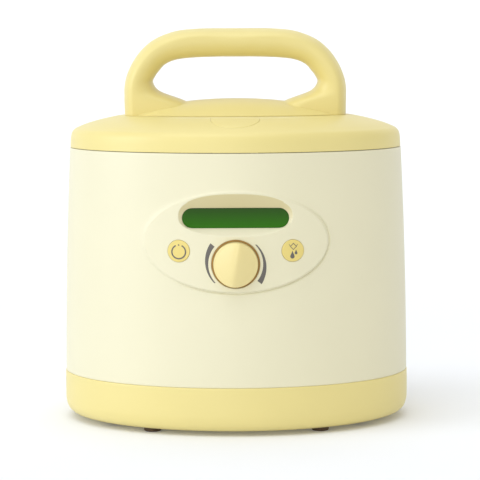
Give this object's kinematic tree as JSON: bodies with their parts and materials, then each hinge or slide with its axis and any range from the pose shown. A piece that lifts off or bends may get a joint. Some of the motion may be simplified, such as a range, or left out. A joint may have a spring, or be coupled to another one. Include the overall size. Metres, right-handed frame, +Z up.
{
  "type": "breast pump",
  "caption": "Electric breast pump: tapered oval housing on a base tray, hinged lid with a carrying handle, oval control panel with display, knob and push buttons.",
  "frame": {"origin": "on the floor between the four feet, at the centre of the oval footprint", "axes": "+Z up towards the carrying handle, -Y towards the control panel, +X to the right seen from the front"},
  "size_m": [0.1906, 0.1684, 0.215],
  "materials": {
    "cream_plastic": "satin moulded ABS",
    "yellow_plastic": "satin moulded ABS",
    "foot_rubber": "matt",
    "white_plastic": "fine matt texture",
    "display_green": "clear gloss over a green filter",
    "grey_plastic": "matt",
    "circuit_board": "solder resist",
    "black_plastic": "fine matt texture",
    "steel": "zinc plated",
    "silicone": "matt translucent",
    "aluminium": "die cast",
    "brass": "turned",
    "transformer_iron": "laminated core and varnished windings",
    "battery": "shrink-wrapped cells",
    "ribbon": "flat cable"
  },
  "bodies": {
    "housing": {"housing_shell": "cream_plastic", "base_tray": "yellow_plastic", "foot_front_left": "foot_rubber", "foot_front_right": "foot_rubber", "foot_rear_left": "foot_rubber", "foot_rear_right": "foot_rubber", "base_screws": "steel", "top_deck": "white_plastic", "deck_screws": "steel", "display_window": "display_green", "lcd_module": "grey_plastic", "control_board": "circuit_board", "control_screws": "steel", "encoder_body": "black_plastic", "key_switch_left": "black_plastic", "key_switch_right": "black_plastic", "key_boot_left": "silicone", "key_boot_right": "silicone", "main_board": "circuit_board", "board_components": "black_plastic", "ribbon_cable": "ribbon", "transformer": "transformer_iron", "battery_pack": "battery", "battery_bracket": "steel", "card_reader": "grey_plastic", "power_inlet": "black_plastic", "inlet_pins": "brass", "pump_chassis": "aluminium", "pump_isolators": "foot_rubber", "chassis_screws": "steel", "guide_rods": "steel", "gear_shaft": "steel", "motor_body": "steel", "motor_screws": "steel", "diaphragm_left": "silicone", "diaphragm_right": "silicone", "clamp_ring_left": "aluminium", "clamp_ring_right": "aluminium", "clamp_screws": "steel", "hinge_pin": "steel"},
    "lid": {"lid_cover": "yellow_plastic", "carrying_handle": "yellow_plastic", "handle_screws": "steel", "lid_liner": "white_plastic", "liner_screws": "steel", "lid_gasket": "foot_rubber", "latch_spring": "steel"},
    "lid_button": {"lid_release_button": "yellow_plastic"},
    "latch": {"latch_slide": "grey_plastic"},
    "vacuum_dial": {"vacuum_knob": "yellow_plastic", "encoder_shaft": "steel"},
    "power_key": {"power_button": "yellow_plastic"},
    "letdown_key": {"letdown_button": "yellow_plastic"},
    "card": {"program_card": "grey_plastic"},
    "carriage": {"crosshead": "grey_plastic", "crosshead_bushings": "brass", "diaphragm_plates": "steel"},
    "gear": {"reduction_gear": "grey_plastic"},
    "rotor": {"motor_shaft": "steel", "motor_pinion": "brass"}
  },
  "joints": [
    {"name": "lid_hinge", "type": "hinge", "parent": "housing", "child": "lid", "pos_m": [0, 0.0785, 0.1515], "axis": [-1, 0, 0], "range_deg": [0, 95]},
    {"name": "lid_button_press", "type": "slide", "parent": "lid", "child": "lid_button", "axis": [0, 0, -1], "range_m": [0, 0.002], "stiffness_N_per_m": 300, "springref_m": -0.002},
    {"name": "latch_travel", "type": "slide", "parent": "lid", "child": "latch", "axis": [0, 1, 0], "range_m": [0, 0.002], "deforming": ["latch_spring"]},
    {"name": "knob_spin", "type": "hinge", "parent": "housing", "child": "vacuum_dial", "pos_m": [0, -0.08, 0.092], "axis": [0, -1, 0], "continuous": true},
    {"name": "power_press", "type": "slide", "parent": "housing", "child": "power_key", "axis": [0.2602, 0.9655, 0], "range_m": [0, 0.001], "stiffness_N_per_m": 400, "springref_m": -0.001, "deforming": ["key_boot_left"]},
    {"name": "letdown_press", "type": "slide", "parent": "housing", "child": "letdown_key", "axis": [-0.2602, 0.9655, 0], "range_m": [0, 0.001], "stiffness_N_per_m": 400, "springref_m": -0.001, "deforming": ["key_boot_right"]},
    {"name": "card_slide", "type": "slide", "parent": "housing", "child": "card", "axis": [0, 1, 0], "range_m": [0, 0.045]},
    {"name": "crosshead_lift", "type": "slide", "parent": "housing", "child": "carriage", "axis": [0, 0, 1], "range_m": [0, 0.008], "deforming": ["diaphragm_left", "diaphragm_right"]},
    {"name": "gear_spin", "type": "hinge", "parent": "housing", "child": "gear", "pos_m": [0.01, 0.007, 0.078], "axis": [0, 1, 0], "range_deg": [0, 61.12]},
    {"name": "motor_spin", "type": "hinge", "parent": "housing", "child": "rotor", "pos_m": [0.0308, 0.02, 0.078], "axis": [0, 1, 0], "range_deg": [-204, 0]}
  ],
  "couplings": [
    {"joint": "latch_travel", "follows": "lid_button_press", "ratio": 1},
    {"joint": "gear_spin", "follows": "crosshead_lift", "rad_per_m": 133.33},
    {"joint": "motor_spin", "follows": "crosshead_lift", "rad_per_m": -444.44}
  ]
}
